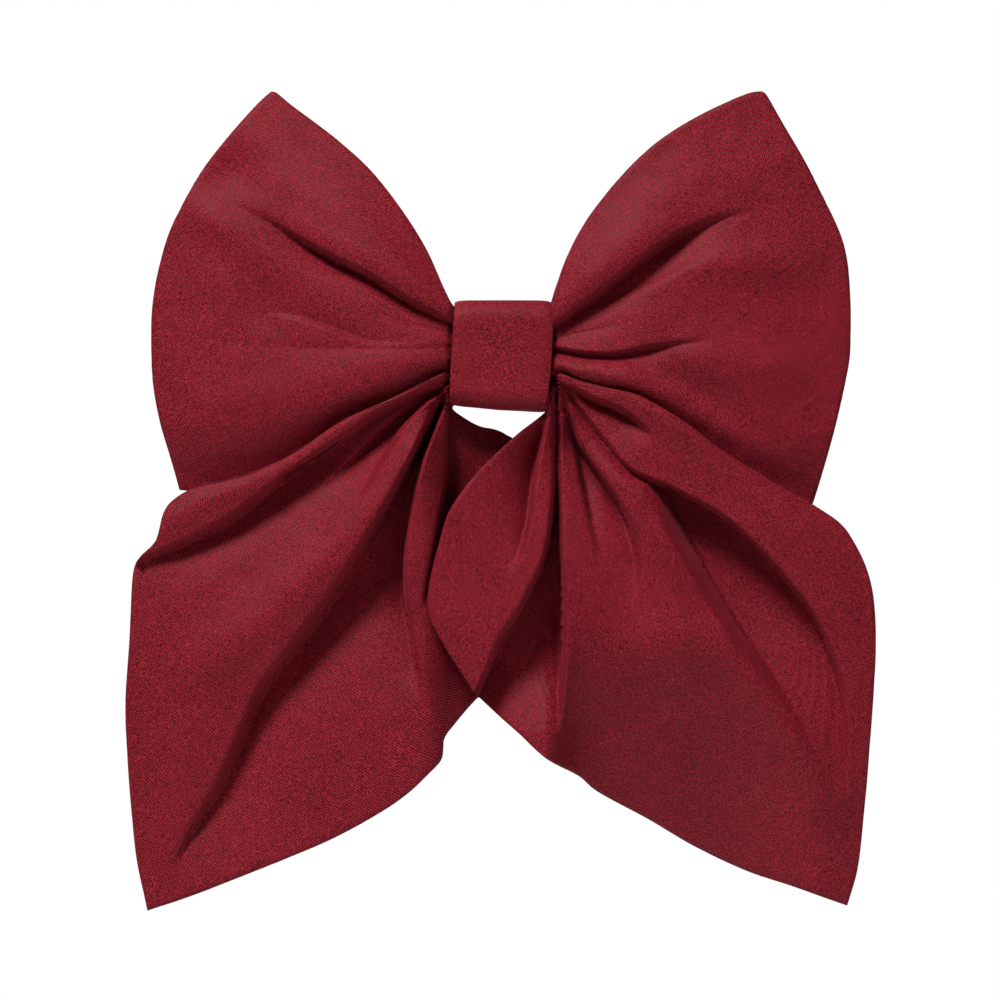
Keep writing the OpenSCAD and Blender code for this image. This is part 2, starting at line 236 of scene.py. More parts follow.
def hot_glue(name):
    f = Finish(name, Roughness=0.22, Transmission_Weight=0.35, IOR=1.48)
    place = f.add("TexCoord").outputs["Object"]
    wave = f.add("TexNoise", {"Vector": place}, Scale=420, Detail=2.0).outputs["Fac"]
    f.use(Base_Color=f.ramp(wave, (0.3, (0.78, 0.72, 0.55)), (0.7, (0.9, 0.86, 0.72))),
          Normal=f.bump(wave, 0.0002, 0.5))
    return f.material


sewing_thread = twisted("sewing_thread", (0.09, 0.006, 0.012), (0.24, 0.02, 0.035))
clear_glue = hot_glue("clear_glue")
print("finishes so far:", ", ".join(material.name for material in bpy.data.materials))


# %% Nickel
def nickel(name, dark, light, rough):
    f = Finish(name, Metallic=1.0)
    place = f.add("TexCoord").outputs["Object"]
    drawn = f.add("Mapping", {"Vector": place}, Scale=(60, 2400, 2400)).outputs["Vector"]
    lines = f.add("TexNoise", {"Vector": drawn}, Scale=1.0, Detail=3.0).outputs["Fac"]
    haze = f.add("TexNoise", {"Vector": place}, Scale=160, Detail=4.0).outputs["Fac"]
    f.use(Base_Color=f.ramp(haze, (0.3, dark), (0.7, light)),
          Roughness=f.ramp(lines, (0.3, (rough - 0.07,) * 3), (0.7, (rough + 0.1,) * 3)),
          Normal=f.bump(lines, 0.000012, 0.5))
    return f.material


plated = nickel("plated_strip", (0.56, 0.55, 0.53), (0.72, 0.71, 0.69), 0.24)
tempered = nickel("tempered_strip", (0.36, 0.37, 0.39), (0.52, 0.53, 0.55), 0.3)
FINISH_OF = {
    "barrette_plate": plated, "clasp_arm": plated, "hinge_pin": plated,
    "spring_leaf": tempered, "catch_tab_upper": tempered, "catch_tab_lower": tempered,
    "glue_pad": clear_glue, "waist_thread": sewing_thread,
}
for node, finish in FINISH_OF.items():
    for held in nodes[node].material_slots:
        held.material = finish
print("finished as packed:", len(FINISH_OF), "nodes")

# %% [markdown]
# ## How the cloth is shaped
#
# Gathered satin makes long folds that start sharp at the knot and open out towards the free edge.
# A cloth simulation could make such folds, but it chooses where they run. A sewn bow has them where
# its maker has pressed them, so here the cloth is drawn instead. Each wing and tail is a grid
# stretched between its edges, and each fold adds to the height of the grid by its distance from the
# fold's line.
#
# All of these numbers are millimetres: x to the right, z up, and height towards the front.


# %% Smooth lines and blends
def ease(t):
    t = np.clip(t, 0, 1)
    return t * t * (3 - 2 * t)


def smooth_line(points, count):
    """A curve through the points, as `count` rows evenly spaced along its length."""
    p = np.asarray(points, float)
    q = np.vstack([2 * p[0] - p[1], p, 2 * p[-1] - p[-2]])
    t = np.linspace(0, len(p) - 1, 40 * len(p))
    i = np.minimum(t.astype(int), len(p) - 2)
    f = (t - i)[:, None]
    a, b, c, d = q[i], q[i + 1], q[i + 2], q[i + 3]
    r = 0.5 * (2 * b + (c - a) * f + (2 * a - 5 * b + 4 * c - d) * f**2
               + (3 * b - a - 3 * c + d) * f**3)
    run = np.concatenate([[0], np.cumsum(np.hypot(*np.diff(r[:, :2], axis=0).T))])
    at = np.linspace(0, run[-1], count)
    return np.column_stack([np.interp(at, run, r[:, k]) for k in range(r.shape[1])])


def along(line, t):
    """Points on a line at shares t of its rows."""
    place = np.linspace(0, 1, len(line))
    return np.stack([np.interp(t, place, line[:, k]) for k in range(line.shape[1])], -1)


print(f"ease at a quarter and at a half: {ease(0.25):.2f}, {ease(0.5):.2f}")


# %% [markdown]
# A fold is one of three kinds. A *roll* is the rounded edge of a layer that stands over the one
# beside it. It falls fast over its edge, to `drop`, and then comes back slowly, over `low`. A
# *crease* is a pressed line. A *swell* is a soft ridge, or a hollow when its height is negative.
#
# The third number of each point on a fold's line is the fold's strength there. A line that ends in
# the open cloth ends at strength 0, or the cloth would show a step beyond its end.
#
# Where one layer lies over another fold, that fold must not show through it. So a list of folds
# goes from the lowest layer to the highest, and a roll may *hide* part of what was made before it,
# on its raised side and within `reach`. A *cover* is a roll that only hides.


# %% Folds
NEAR = np.linspace(-0.35, 0.35, 5)  # a roll's edge is softened over this distance
LIP_WIDTH = 5.0
TOWARDS = {"up": (0, 1), "down": (0, -1), "left": (-1, 0), "right": (1, 0)}


def from_line(x, z, line, raised):
    """Signed distance to the line, positive on the raised side, and the strength there."""
    path = smooth_line(line, 90)
    way = np.gradient(path[:, :2], axis=0)
    way /= np.hypot(*way.T)[:, None]
    flat = np.column_stack([x.ravel(), z.ravel()])
    gap = flat[:, None, :] - path[None, :, :2]
    nearest = np.argmin((gap**2).sum(-1), 1)
    gap = gap[np.arange(len(flat)), nearest]
    way = way[nearest]
    left_of = way[:, 0] * gap[:, 1] - way[:, 1] * gap[:, 0]
    chord = path[-1, :2] - path[0, :2]
    side = np.sign(chord[0] * raised[1] - chord[1] * raised[0])
    away_from = np.hypot(*gap.T) * np.where(left_of < 0, -1, 1) * side
    return away_from.reshape(x.shape), path[nearest, 2].reshape(x.shape)


def roll(raised, line, drop, r=1.5, low=5.0, lip=0.0, hides=0.0, reach=9.0):
    """A layer's edge of radius r. Its shape gives the share hidden and the height to add."""
    def shape(x, z):
        d, k = from_line(x, z, line, TOWARDS[raised])
        total = 0
        for shift in NEAR:
            s = d + shift
            over = 1 - np.sqrt(1 - (1 - np.clip(s / r, 0, 1)) ** 2)
            total = total + np.where(s > 0, over, np.exp(np.minimum(s, 0) / low))
        rise = lip * np.where(d > 0, np.exp(-((d / LIP_WIDTH - 0.6) ** 2) * 2.5), 0)
        hidden = hides * np.minimum(k, 1) * ease(d / (1.5 * r) + 0.2) * np.exp(-((d / reach) ** 2))
        return hidden, k * (rise - drop * total / len(NEAR))
    return shape


def cover(raised, line, reach):
    return roll(raised, line, drop=0.0, r=1.0, hides=1, reach=reach)


def crease(line, drop, w=1.0):
    def shape(x, z):
        d, k = from_line(x, z, line, (0.3, 1))
        return 0, -k * drop * np.exp(-np.sqrt(d**2 + 0.09) / w)
    return shape


def swell(line, rise, w):
    def shape(x, z):
        d, k = from_line(x, z, line, (0.3, 1))
        return 0, k * rise * np.exp(-((d / w) ** 2))
    return shape


level = roll("up", [(0, 0, 1), (10, 0, 1)], drop=4)
_, added = level(np.full(3, 5.0), np.array([-5.0, -0.5, 3.0]))
print("a roll 4 mm deep, 5 and 0.5 mm before its edge and 3 mm onto it:", np.round(added, 1))


# %% [markdown]
# ## The wings
#
# The upper bow is one turned panel with a wing at each end. The outline of a wing is given as three
# edges: the top, the low edge that tucks behind the tail, and the far edge between their corners.
# Its folds fan out from the knot. The deep one under the top edge is a roll, because the cloth
# above it hangs over, and the rest are soft swells and thin creases.

# %% Wing outlines
KNOT_SIDE = 9.0  # the wings and tails begin inside the band, this far from the middle

LEFT_WING = dict(
    top=[(-KNOT_SIDE, 10.0), (-10.7, 10.7), (-12.7, 14.5), (-16.4, 22.8), (-21.5, 31.1),
         (-28.3, 39.9), (-35.1, 46.3), (-40.9, 50.9), (-46, 54.7), (-49.2, 57.4), (-50.2, 57.9)],
    low=[(-KNOT_SIDE, -3.4), (-11.4, -4.4), (-14, -6.1), (-18, -9.2), (-24.6, -13), (-34.4, -18.4),
         (-44.3, -24.4), (-53, -28.6), (-62, -30.4), (-71, -29.6)],
    far=[(-50.2, 57.9), (-51.2, 57.5), (-54.6, 54.2), (-60.3, 47.6), (-65.3, 41.2),
         (-69.4, 34.2), (-73, 26.7), (-75.4, 18.4), (-76.7, 10.1), (-76.9, 2.4), (-76.5, -6.4),
         (-75, -14.7), (-73, -22.1), (-71, -29.6)])
RIGHT_WING = dict(
    top=[(KNOT_SIDE, 10.0), (10.4, 10.7), (11.8, 14.9), (14.3, 21.7), (18, 28.7), (23, 35.5),
         (28.7, 41.9), (34.6, 47.1), (41.4, 51.5), (48.2, 55), (54.1, 57.5), (57, 58)],
    low=[(KNOT_SIDE, -3.4), (11.2, -4.5), (13.6, -6.1), (17.1, -8.5), (23.7, -11.4), (30.3, -14),
         (39, -18.6), (47.8, -25), (56.6, -30.2), (68, -33.8)],
    far=[(57, 58), (58.3, 56.8), (62, 50.2), (66.4, 42.5), (70.5, 34.4), (74.1, 26.7),
         (75.8, 19.9), (76.4, 11.2), (76.4, 4.2), (76.1, -1.5), (74.1, -11.4), (71.7, -21),
         (69.3, -29.8), (68, -33.8)])
print("wings", RIGHT_WING["far"][0][0] - LEFT_WING["far"][0][0], "mm between their points")

# %% Wing folds
LEFT_WING_FOLDS = [
    roll("up", [(-11, 6.8, 0.5), (-20, 11.2, 0.9), (-28.5, 16.6, 1), (-36.5, 20.6, 1.1),
                (-43, 24.3, 0.8), (-49, 28, 0.35), (-55, 31.5, 0.1), (-60, 34, 0)],
         drop=4.6, r=1.2, low=3.8, lip=0.9),
    roll("down", [(-13, 3.4, 0), (-24, 2.4, 0.4), (-31, 3.3, 1), (-38, 6, 1),
                  (-45.5, 8.3, 0.6), (-52, 9.3, 0)], drop=1.3, r=0.9, low=3.2),
    crease([(-11, 1.2, 1), (-44, 1.4, 0.6), (-66, 3.3, 0)], 0.7, 1.2),
    crease([(-11, 4.4, 1), (-20, 6.6, 0.7), (-30, 9.5, 0)], 0.9, 0.8),
    crease([(-11, -2.4, 1), (-20, -5.8, 1), (-30, -10.8, 0.7), (-40, -16, 0)], 1.9, 2.0),
    swell([(-12, 9.5, 0.6), (-24, 20, 1), (-36, 31, 0.6), (-48, 40, 0)], 1.5, 6),
    swell([(-70, 33, 0), (-62, 29, 1), (-54, 23, 0.8), (-42, 16, 0.4), (-30, 11, 0)], 1.2, 4),
    swell([(-66, 45, 0), (-59, 39.5, 1), (-50, 36, 0)], -1.6, 6),
    swell([(-60, 10.5, 0), (-52, 9.5, 1), (-43, 9, 0)], -0.8, 5),
    swell([(-12, -0.5, 0.5), (-30, -5, 1), (-54, -10, 0.8), (-72, -12, 0)], 1.2, 6),
]
RIGHT_WING_FOLDS = [
    roll("up", [(11.2, 5.9, 0.6), (21.5, 13.2, 1), (30.3, 20.2, 1.1), (37, 24.8, 1),
                (42, 27.6, 0.55), (48, 30, 0.2), (56, 32, 0)], drop=5.8, r=1.2, low=4.6, lip=0.9),
    roll("down", [(14, 7.8, 0), (21.5, 11.4, 0.6), (32.4, 16, 0.8), (41.2, 20.6, 0.5),
                  (50, 24, 0)], drop=1.1, r=2.2, low=3),
    roll("up", [(11.2, 1.3, 0.9), (18, 0.1, 1), (25, 0, 1), (31, 1.2, 0.9), (38, 2.4, 0.4),
                (46, 3.6, 0)], drop=3.8, r=0.8, low=2.4),
    crease([(11.2, 3.6, 1), (22, 5.6, 0.6), (32, 8, 0)], 0.8, 0.8),
    swell([(12, 9, 0.5), (22, 20, 1), (34, 32, 0.6), (48, 42, 0)], 1.4, 6),
    swell([(32, 14, 0), (44, 19.5, 1), (60, 20.4, 0.8), (72, 20, 0)], 1.3, 4.5),
    swell([(35, 0, 0), (44, -1.5, 1), (58, -3.5, 0.9), (73, -6, 0)], 1.4, 5),
    swell([(27, -2.5, 0), (34, -4.2, 0.7), (43.4, -8.5, 1), (54, -15, 0.7), (64, -21, 0)],
          -1.5, 4),
    swell([(12, -1.8, 0.8), (22, -3.4, 1), (32, -7, 0.8), (44, -13.5, 0.5), (60, -22, 0.4)],
          1.3, 3),
]
print("wing folds:", len(LEFT_WING_FOLDS), "left,", len(RIGHT_WING_FOLDS), "right")

# %% [markdown]
# ## The tails
#
# The lower cloth is one long strip, pinched in the middle so that its ends hang as two tails. A
# tail's outer edge first follows the wing's low edge, as a fold in front of it, and then turns down
# to the tip. The right tail crosses in front of the left one below the knot.
#
# The tails carry the deepest folds, in layers, so the order of their lists matters. On the left, a
# broad roll stands over the valley beside it, and a narrow strip stands over both. On the right, a
# valley opens under the outer edge, and the layers by the knot are folded over it one by one.

# %% Tail outlines
LEFT_TAIL = dict(
    top=[(-KNOT_SIDE, -2.8), (-11.4, -3.5), (-14, -4.6), (-18, -6.5), (-24.6, -9.9), (-34.4, -14.2),
         (-44.3, -20.8), (-53, -25.2), (-60.7, -27.4), (-67, -29), (-71.6, -31.6),
         (-73.9, -34.6), (-75.6, -40.6), (-79.2, -44.4), (-80.8, -48.2), (-81.5, -62.5),
         (-82.4, -75.6), (-82, -88.8), (-80.4, -108.5), (-77.8, -121.9)],
    low=[(-KNOT_SIDE, -10.0), (-10.9, -11.6), (-8.1, -13.8), (-4.8, -15.5), (-1.5, -16.2),
         (1, -17.4), (3.2, -19.6), (5.6, -30), (5, -50), (1.5, -70)],
    far=[(-77.8, -121.9), (-66.2, -117.9), (-44.3, -109.2), (-33.3, -104.1), (-22.4, -97.5),
         (-15.8, -91.6), (-13.2, -88.6), (-12.7, -84.4), (-10.3, -81.1), (-5.3, -75.6), (1.5, -70)])
RIGHT_TAIL = dict(
    top=[(KNOT_SIDE, -2.8), (11.2, -3.6), (14, -4.6), (17.1, -5.8), (23.7, -7.5), (30.3, -9.2),
         (39, -14.2), (47.8, -20.8), (56.6, -26.3), (63, -30), (68.6, -33.2), (73.8, -36.8),
         (76.7, -40.6), (79.6, -46.6), (81.3, -53.7), (81.8, -64.7), (81.1, -82.2), (80.2, -97.5),
         (78.9, -112.9), (76.7, -121.9)],
    low=[(KNOT_SIDE, -10.0), (9.4, -12.5), (3.9, -16.9), (-0.4, -20.8), (-5.9, -26.3),
         (-11.4, -34), (-13.6, -40.6), (-15.3, -47.1), (-16.2, -52.5), (-15.6, -58.1),
         (-11.4, -65.8), (-5.3, -75.2)],
    far=[(76.7, -121.9), (65.3, -117.9), (54.4, -114.6), (43.4, -109.6), (32.4, -103),
         (21.5, -96.9), (17.1, -93.2), (9.4, -88.3), (3.9, -83.3), (-0.4, -79.6), (-5.3, -75.2)])
print("tails", RIGHT_TAIL["far"][0][0] - LEFT_TAIL["far"][0][0], "mm between their tips")

# %% Left tail folds
STRIP = [(-12.8, -9.8, 0.3), (-14.2, -13.5, 0.8), (-16, -18, 1), (-18, -23, 1), (-19.5, -29, 1),
         (-20.8, -36, 1), (-21.8, -43, 1), (-21.9, -49, 0.9), (-21.3, -55, 0.7),
         (-20.2, -61, 0.5), (-18.8, -68, 0.3), (-17, -76, 0)]
LEFT_TAIL_FOLDS = [
    roll("up", [(-13, -6, 0.25), (-18, -9, 0.3), (-24, -12, 0.35), (-30, -15.6, 0.5),
                (-37, -20.3, 0.8), (-44, -24.9, 1), (-51, -29.9, 1), (-58, -35.2, 0.9),
                (-64.6, -39, 0.75), (-71, -42, 0.6), (-77.9, -44.6, 0.35)],
         drop=8.5, r=1.4, low=10),
    roll("up", [(-13.5, -7.2, 0.3), (-17, -9.8, 0.8), (-20, -12, 1), (-24, -15, 1),
                (-28, -18.4, 0.9), (-31.5, -21.7, 0.6), (-36, -26, 0.2), (-40, -30, 0)],
         drop=6.5, r=0.9, low=3.5),
    roll("down", [(-13.5, -7.8, 0.3), (-16.5, -9.7, 0.8), (-19.3, -12.6, 1), (-21.8, -15.3, 1),
                  (-24, -18.6, 0.8), (-26.4, -22.8, 0.5), (-29, -27.5, 0.2), (-32, -33, 0)],
         drop=6.5, r=1.0, low=2.5, hides=1, reach=12),
    roll("right", STRIP, drop=9.0, r=0.9, low=6),
    roll("left", [(-12.8, -9.5, 0.2), (-15.2, -15, 0.7), (-18, -21.5, 1), (-21.2, -27.5, 1),
                  (-25, -34.2, 1), (-29.4, -41.4, 1), (-33.8, -48.4, 1), (-38.8, -55.6, 0.9),
                  (-44.9, -63.6, 0.8), (-51.6, -72, 0.7), (-55.6, -80, 0.6), (-59, -88, 0.5),
                  (-63, -96, 0.4), (-68, -104.5, 0.25), (-72.5, -113, 0)],
         drop=13.0, r=1.7, low=13, hides=1, reach=7),
    cover("right", STRIP, 25),
    roll("left", [(-11.6, -12, 0.3), (-11.5, -16, 0.8), (-11.7, -22, 1), (-11.9, -28, 1),
                  (-12.8, -34, 0.9), (-14.2, -41, 0.7), (-15.8, -48, 0.4), (-17.6, -57, 0)],
         drop=8.0, r=1.0, low=4),
    crease([(-12.5, -5.8, 1), (-18, -9, 1), (-24, -12, 1), (-30, -15.6, 0.8), (-36, -19.6, 0)],
           1.8, 0.6),
    swell([(-12, -5.0, 0.2), (-20, -8, 0.8), (-28, -11.8, 1), (-38, -18, 1), (-50, -26, 1),
           (-64, -32, 0.8), (-75, -38, 0.5)], 1.4, 2.6),
    swell([(-14, -9.8, 0.2), (-18.5, -15.6, 0.7), (-23, -23.5, 1), (-30, -34, 1), (-41, -47, 1),
           (-52, -58, 0.9), (-62, -66, 0.7), (-74, -73, 0)], 2.6, 6),
    swell([(-19, -56, 0), (-17.5, -66, 0.8), (-15.5, -77, 1), (-14, -86, 0.5)], 1.3, 3),
    swell([(-78, -90, 0.4), (-69, -86, 1), (-60, -80, 0)], 1.0, 7),
]
print("left tail folds:", len(LEFT_TAIL_FOLDS))

# %% Right tail folds
MIDDLE = [(12.3, -13, 0.3), (12.2, -28.9, 0.5), (12.2, -40.6, 0.9), (12.8, -50, 1), (13, -60, 1),
          (13, -65, 1), (12.9, -70, 0.8), (12.6, -76, 0.35), (12.2, -83, 0)]
VALLEY_TOP = [(32, -27.4, 0), (35.5, -29, 0.5), (39, -30.8, 0.9), (45, -33.9, 1), (49, -36.6, 1),
              (53, -40, 1), (56.4, -43.5, 1), (60.2, -47.6, 1), (64, -52.2, 0.9),
              (67.6, -57, 0.8), (70.6, -62.4, 0.65), (73, -68.6, 0.5), (74.6, -76, 0.3),
              (75.6, -86, 0.12), (76, -98, 0)]
RIGHT_TAIL_FOLDS = [
    roll("up", VALLEY_TOP, drop=11.5, r=1.2, low=17),
    roll("left", [(32, -24.5, 0), (35, -28, 0.5), (37.6, -33, 0.9), (41, -40, 1), (44, -45.3, 1),
                  (47, -51, 1), (50, -56, 0.95), (53, -61, 0.85), (57, -67, 0.65), (62, -75, 0.4),
                  (68, -86, 0.15), (73, -98, 0)], drop=8.0, r=4.0, low=17, hides=1, reach=30),
    cover("up", [(31, -27, 1), (35.5, -29, 1), (39, -30.8, 1)] + VALLEY_TOP[3:], 40),
    roll("right", MIDDLE, drop=10.0, r=0.8, low=9),
    roll("left", [(11.8, -13, 0.2), (12.0, -25, 0.4), (11.8, -33, 0.8), (11.1, -40, 1),
                  (9.6, -46, 1), (7.2, -51, 1), (4, -57, 1), (0.4, -62, 1), (-1.4, -66.6, 1),
                  (-5, -75, 0.8)], drop=12.0, r=1.3, low=13, hides=1, reach=14),
    cover("right", MIDDLE, 14),
    roll("right", [(9.6, -14, 0.3), (8.4, -19, 0.8), (7.2, -25, 1), (6.4, -31, 0.9),
                   (5.6, -37, 0.5), (4, -43, 0.2), (2, -48, 0)], drop=10.5, r=0.8, low=4.5),
    roll("left", [(14.2, -12, 0.3), (15.6, -17, 0.8), (16.6, -21.5, 1), (17.6, -27, 1),
                  (18.6, -32, 0.7), (19.8, -38, 0.3), (21, -44, 0)], drop=9.0, r=0.8, low=6),
    roll("right", [(14.3, -13, 0.5), (16.2, -18.8, 1), (19, -23.5, 1), (22.3, -28.2, 1),
                   (25.2, -32.4, 1), (27.3, -36.6, 0.8), (28.6, -40.4, 0.55), (29.4, -45, 0.3),
                   (29.3, -50, 0.12), (28.5, -55, 0)],
         drop=11.0, r=0.8, low=6.0, hides=0.3, reach=6),
    swell([(20, -19, 0), (25, -26, 1), (31, -34, 1), (36, -46, 0.8), (39, -60, 0.4)], 1.6, 4),
    roll("up", [(12.6, -6, 0.3), (14.6, -8.8, 0.6), (17.1, -12, 1), (20.2, -16.3, 1),
                (23.6, -20.6, 1), (27, -24.6, 1), (31, -27, 1), (35, -28.9, 0.8), (40, -31, 0)],
         drop=4.0, r=1.0, low=1.3),
    swell([(16, -6.4, 0.3), (28, -10.2, 1), (40, -17, 1), (52, -27, 1), (64, -38, 0.9),
           (74, -50, 0.6), (78, -64, 0)], 1.8, 4),
    roll("up", [(15, -7.2, 0.3), (19.5, -9.8, 1), (24, -11.4, 1), (27.5, -13.4, 0.9),
                (30.2, -15.6, 0.5), (33, -18.2, 0)], drop=5.5, r=0.9, low=3.0),
    swell([(24, -66, 0), (32, -64, 1), (44, -64, 1), (52, -66, 0)], 1.5, 7),
    swell([(13.4, -56, 0), (13, -66, 1), (12.6, -78, 1), (11.6, -88, 0.6)], 1.4, 4),
    swell([(46, -54, 0), (53, -66, 0.9), (61, -78, 1), (70, -95, 0.6)], 2.6, 6),
]
print("right tail folds:", len(RIGHT_TAIL_FOLDS))

# %% [markdown]
# ## From outlines to a grid
#
# Each wing and tail becomes a grid: columns run out from the knot and rows run across. A grid is
# stretched between its edges as a sheet of rubber would be, which is simple and keeps the outline
# exact. Where a tail's inner edge turns in below the knot, its columns lag behind the outer edge's,
# or the grid would fold over itself. The same numbers, u outwards and v across, then say where on
# the cloth a point is.


# %% One wing or tail
def spread(n, more):
    """n + 1 values from 0 to 1 that lie closer together at both ends."""
    t = np.linspace(0, 1, n + 1)
    return t - more / (2 * np.pi) * np.sin(2 * np.pi * t)


def lobe(edges, columns, rows, lag):
    """The grid of one wing or tail: places x and z, shares u and v, and the rim's points."""
    u = np.linspace(0, 1, columns + 1)[:, None]
    v = spread(rows, 0.5)[None, :]
    top, low, far = (smooth_line(edges[k], 600) for k in ("top", "low", "far"))

    def across(a, b):
        return a * (1 - v[..., None]) + b * v[..., None]

    reach = across(along(top, u[:, 0])[:, None, :], along(low, u[:, 0] ** lag)[:, None, :])
    bow_out = along(far, v[0])[None] - across(top[-1][None, None], low[-1][None, None])
    place = reach + u[..., None] * bow_out
    rim = np.vstack([top, far, low[::-1]])
    u, v = np.broadcast_arrays(u, v)
    return dict(x=place[..., 0], z=place[..., 1], u=u, v=v, rim=rim)


def rim_gap(x, z, rim):
    """How far each grid point is from the rim."""
    gap = np.full(x.shape, np.inf)
    for part in np.array_split(rim[::4], 12):
        d = np.hypot(x[..., None] - part[:, 0], z[..., None] - part[:, 1]).min(-1)
        gap = np.minimum(gap, d)
    return gap


coarse = lobe(RIGHT_WING, 4, 4, lag=1.0)
print("a coarse wing grid:", coarse["x"].shape, f"points, out to x = {coarse['x'].max():.1f} mm")


# %% [markdown]
# The height before any fold says how each wing and tail swells forward from the waist and falls
# back at its edges, and which layer stands in front. The tails come out over the wings beside the
# knot. The left tail drops back where the right one crosses it, and the right one falls away to the
# back below its belly, which is why its lower half is in shade.


# %% Heights before folding
WING_WAIST = 14.9
TAIL_WAIST = 11.3
BELLY = -69


def wing_height(g, _side):
    u, v = g["u"], g["v"]
    h = WING_WAIST + 2.2 * ease(u / 0.05)
    h = h + 2.4 * np.sin(np.pi * u**0.75) * (1 - 0.45 * np.abs(2 * v - 1) ** 3)
    h = h - 2.6 * u**2 - 1.6 * ease((0.2 - v) / 0.2) * ease(u / 0.3)
    return h - 4.0 * ease((v - 0.82) / 0.18) * ease(u / 0.08)


def tail_height(g, side):
    u, v = g["u"], g["v"]
    h = TAIL_WAIST + 7.8 * ease(u / 0.03) - 1.2 * ease((u - 0.1) / 0.3)
    h = h - 4.0 * ease((u - 0.45) / 0.55)
    if side < 0:
        h = h - 10.0 * ease((g["x"] + 18) / 14) * ease(u / 0.12)
    else:
        inner = ease((v - 0.45) / 0.45) * ease(u / 0.16)
        below = BELLY - g["z"]
        fall = 0.27 * (below + np.sqrt(below**2 + 50))
        h = h + 1.6 * inner - fall * ease((g["x"] - 9) / 9) * (1 - 0.6 * ease((g["x"] - 40) / 32))
    return h + 1.2 * np.sin(np.pi * v) * ease(u / 0.4)


print(f"the wings leave the knot at {WING_WAIST} mm and the tails at {TAIL_WAIST} mm")


# %% [markdown]
# Real satin is never quite even, so a few slow waves of a tenth of a millimetre are added from a
# fixed seed. At the rim the face rolls back to the seam, because the bow is sewn face to face and
# turned right side out. Inside the knot the folds fade out, because the band presses them flat.

# %% Height of the front face
RIM_ROLL = 1.1
RIM_FALL = 0.7
UNEVEN = 0.05
DEEPEST = -16.0
PRESSED = (8.6, 10.2)  # half of the width and height where the band presses the cloth flat
PLEATS = 9
PLEAT_FADE = 2.2
chance = np.random.default_rng(11)


def uneven(x, z):
    total = 0
    for _ in range(7):
        turn, phase = chance.uniform(0, 2 * np.pi, 2)
        pitch = chance.uniform(5, 13)
        total = total + np.sin(2 * np.pi * (x * np.cos(turn) + z * np.sin(turn)) / pitch + phase)
    return UNEVEN * total / np.sqrt(7)


def rolled(gap):
    t = np.clip(gap / RIM_ROLL, 0, 1)
    return RIM_FALL * (1 - np.sqrt(1 - (1 - t) ** 2))


def front_height(g, side, base, folds, pleat):
    x, z = g["x"], g["z"]
    out_of_knot = np.maximum(np.abs(x) - PRESSED[0], np.abs(z) - PRESSED[1])
    free = ease(out_of_knot / 3)
    change = 0
    for fold in folds:
        hidden, added = fold(x, z)
        change = change * (1 - hidden) + added
    change = change + uneven(x, z)
    change = np.where(change < 0, DEEPEST * np.tanh(change / DEEPEST), change)
    fade = np.exp(-np.maximum(out_of_knot - 1.5, 0) / PLEAT_FADE)
    pleats = pleat * np.cos(2 * np.pi * PLEATS * g["v"]) * fade
    return base(g, side) + free * change + pleats


print(f"the rim rolls back {RIM_FALL} mm, and folds go down to {-DEEPEST:.0f} mm")


# %% [markdown]
# ## Two layers, joined by a seam
#
# A pair of wings, or of tails, is one cloth that runs through the knot, so its two grids are joined
# by a few columns inside the band. The front layer is a thin closed sheet. The back layer could be
# drawn with folds of its own, but it would then have to be fitted behind the front one fold by
# fold. Instead it takes the same shape with its steep folds eased. Both thin out towards the seam
# at the rim.

# %% Grid across both sides
COLUMNS, ROWS = 160, 230
WAIST_COLUMNS = 7
CLOTH = 0.45
PAIR = 1.5  # from the front face to the back face


def lowest_near(h, steps):
    """Each height replaced by the lowest one within some steps of it."""
    for axis in (0, 1):
        p = np.pad(h, [(steps, steps) if a == axis else (0, 0) for a in (0, 1)], mode="edge")
        n = h.shape[axis]
        h = np.min([np.take(p, range(k, k + n), axis) for k in range(2 * steps + 1)], 0)
    return h


def blurred(h, times):
    for _ in range(times):
        for axis in (0, 1):
            p = np.pad(h, [(1, 1) if a == axis else (0, 0) for a in (0, 1)], mode="edge")
            n = h.shape[axis]
            parts = [np.take(p, range(k, k + n), axis) for k in range(3)]
            h = 0.25 * parts[0] + 0.5 * parts[1] + 0.25 * parts[2]
    return h


def whole_cloth(left_edges, right_edges, base, left_folds, right_folds, length, width,
                pleat=0.0, lag=1.0):
    halves = []
    for side, edges, folds in ((-1, left_edges, left_folds), (1, right_edges, right_folds)):
        g = lobe(edges, COLUMNS, ROWS, lag)
        g["h"] = front_height(g, side, base, folds, pleat)
        g["gap"] = rim_gap(g["x"], g["z"], g["rim"])
        g["run"] = side * (KNOT_SIDE + length * g["u"])
        g["side"] = width * g["v"]
        halves.append(g)
    left, right = halves
    t = np.linspace(0, 1, WAIST_COLUMNS + 2)[1:-1, None]
    cloth = {}
    for key in ("x", "z", "h", "gap", "run", "side"):
        waist = left[key][0] * (1 - t) + right[key][0] * t
        cloth[key] = np.vstack([left[key][::-1], waist, right[key]])
    eased = blurred(lowest_near(cloth["h"], 3), 2)
    cloth["back_h"] = cloth["h"] + (eased - cloth["h"]) * ease(cloth["gap"] / 2.5)
    cell = np.diff(cloth["x"], axis=0)[:, :-1] * -np.diff(cloth["z"], axis=1)[:-1]
    cell -= np.diff(cloth["x"], axis=1)[:-1] * -np.diff(cloth["z"], axis=0)[:, :-1]
    print(f"cloth grid {cloth['x'].shape}, folded-over cells {int((cell <= 0).sum())},"
          f" heights {cloth['h'].min():.1f} to {cloth['h'].max():.1f} mm")
    return cloth


print(f"each cloth has {2 * (COLUMNS + 1) + WAIST_COLUMNS} by {ROWS + 1} points a face")


